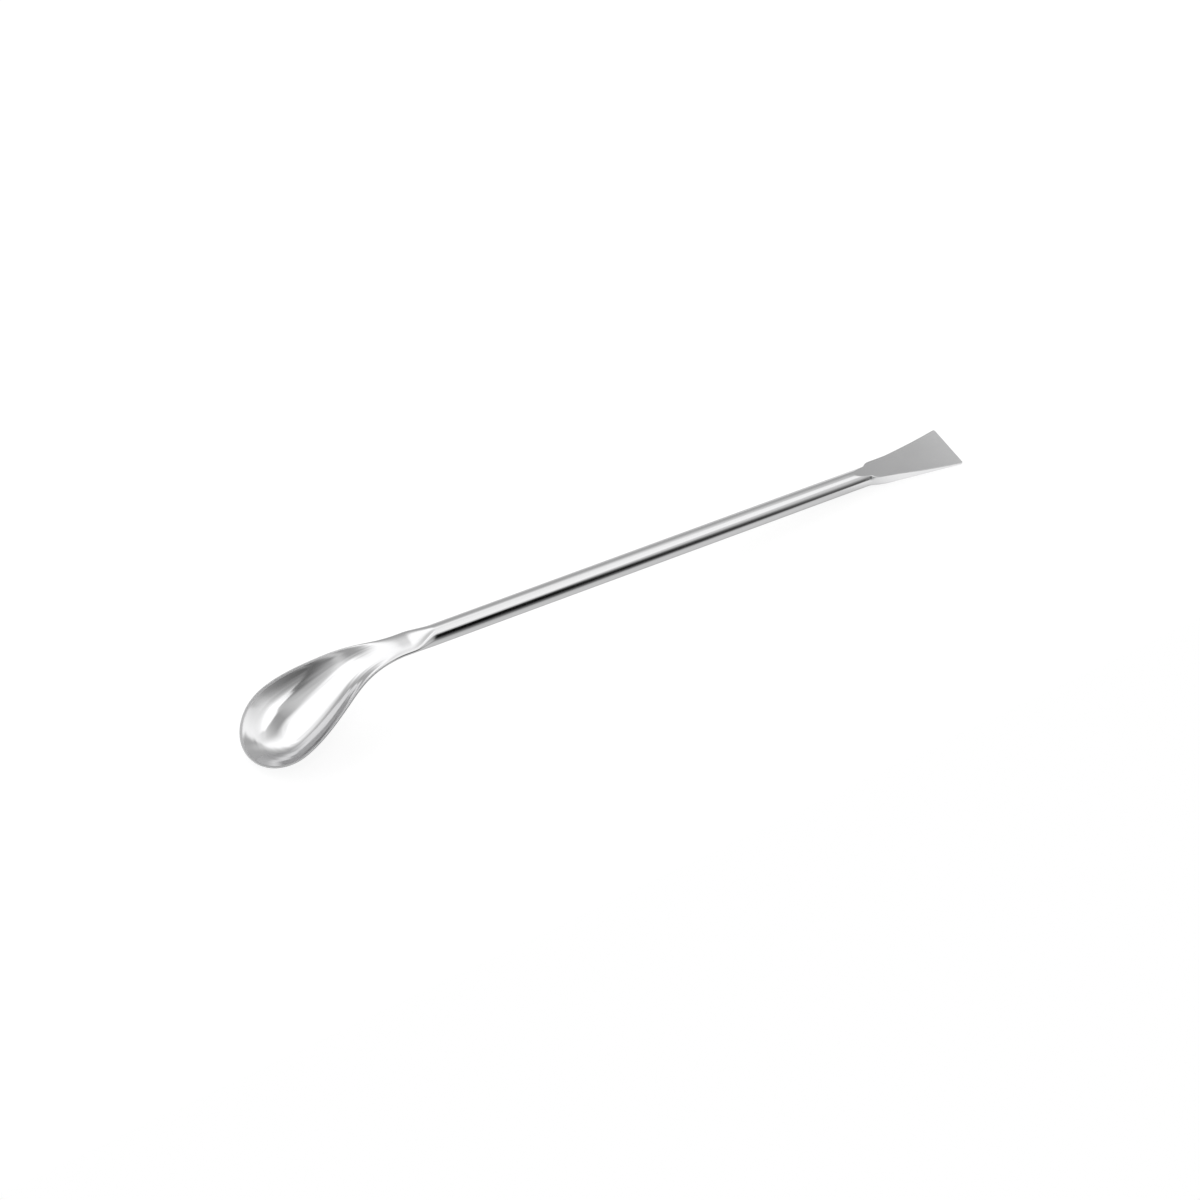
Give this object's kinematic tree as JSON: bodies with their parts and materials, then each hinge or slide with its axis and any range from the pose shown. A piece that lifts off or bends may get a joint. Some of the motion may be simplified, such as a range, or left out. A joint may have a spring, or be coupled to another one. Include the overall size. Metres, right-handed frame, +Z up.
{
  "type": "lab spatula",
  "caption": "Polished steel spatula: a round rod with a deep spoon bowl at its bent end and a flat, flared blade opposite, for scooping and spreading powders.",
  "frame": {"origin": "on the bench, under the middle of the spatula's length and width", "axes": "+X from the bowl to the blade, +Z up from the bench, +Y across the width"},
  "size_m": [0.181, 0.021, 0.0161],
  "materials": {
    "polished_steel": "polished stainless steel, finely drawn along the rod"
  },
  "bodies": {
    "root": {"spatula": "polished_steel"}
  },
  "joints": []
}
